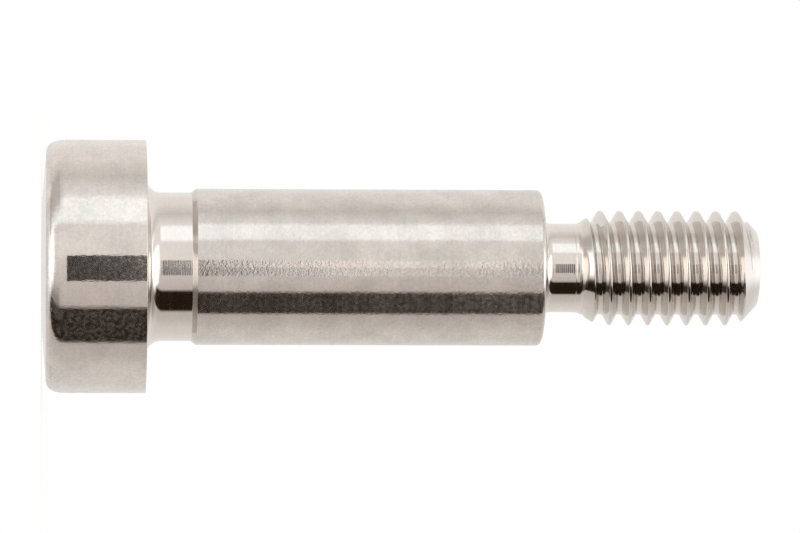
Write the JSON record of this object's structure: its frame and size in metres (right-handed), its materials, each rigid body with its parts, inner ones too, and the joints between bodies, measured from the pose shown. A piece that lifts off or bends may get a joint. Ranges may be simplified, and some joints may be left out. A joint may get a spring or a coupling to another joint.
{
  "type": "shoulder bolt",
  "caption": "Shoulder bolt with a cylindrical socket head, a ground shoulder and a reduced thread, used as a pivot or spacer.",
  "frame": {"origin": "centre of the flat end of the head, on the surface that the bolt stands on", "axes": "+Z along the bolt's axis, from the head through the shoulder to the thread; +X and +Y across it"},
  "size_m": [0.013, 0.013, 0.0367],
  "materials": {
    "steel": "turned and tumbled stainless steel, semi-bright, with fine turning lines in the necks"
  },
  "bodies": {
    "root": {"shoulder_bolt": "steel"}
  },
  "joints": []
}
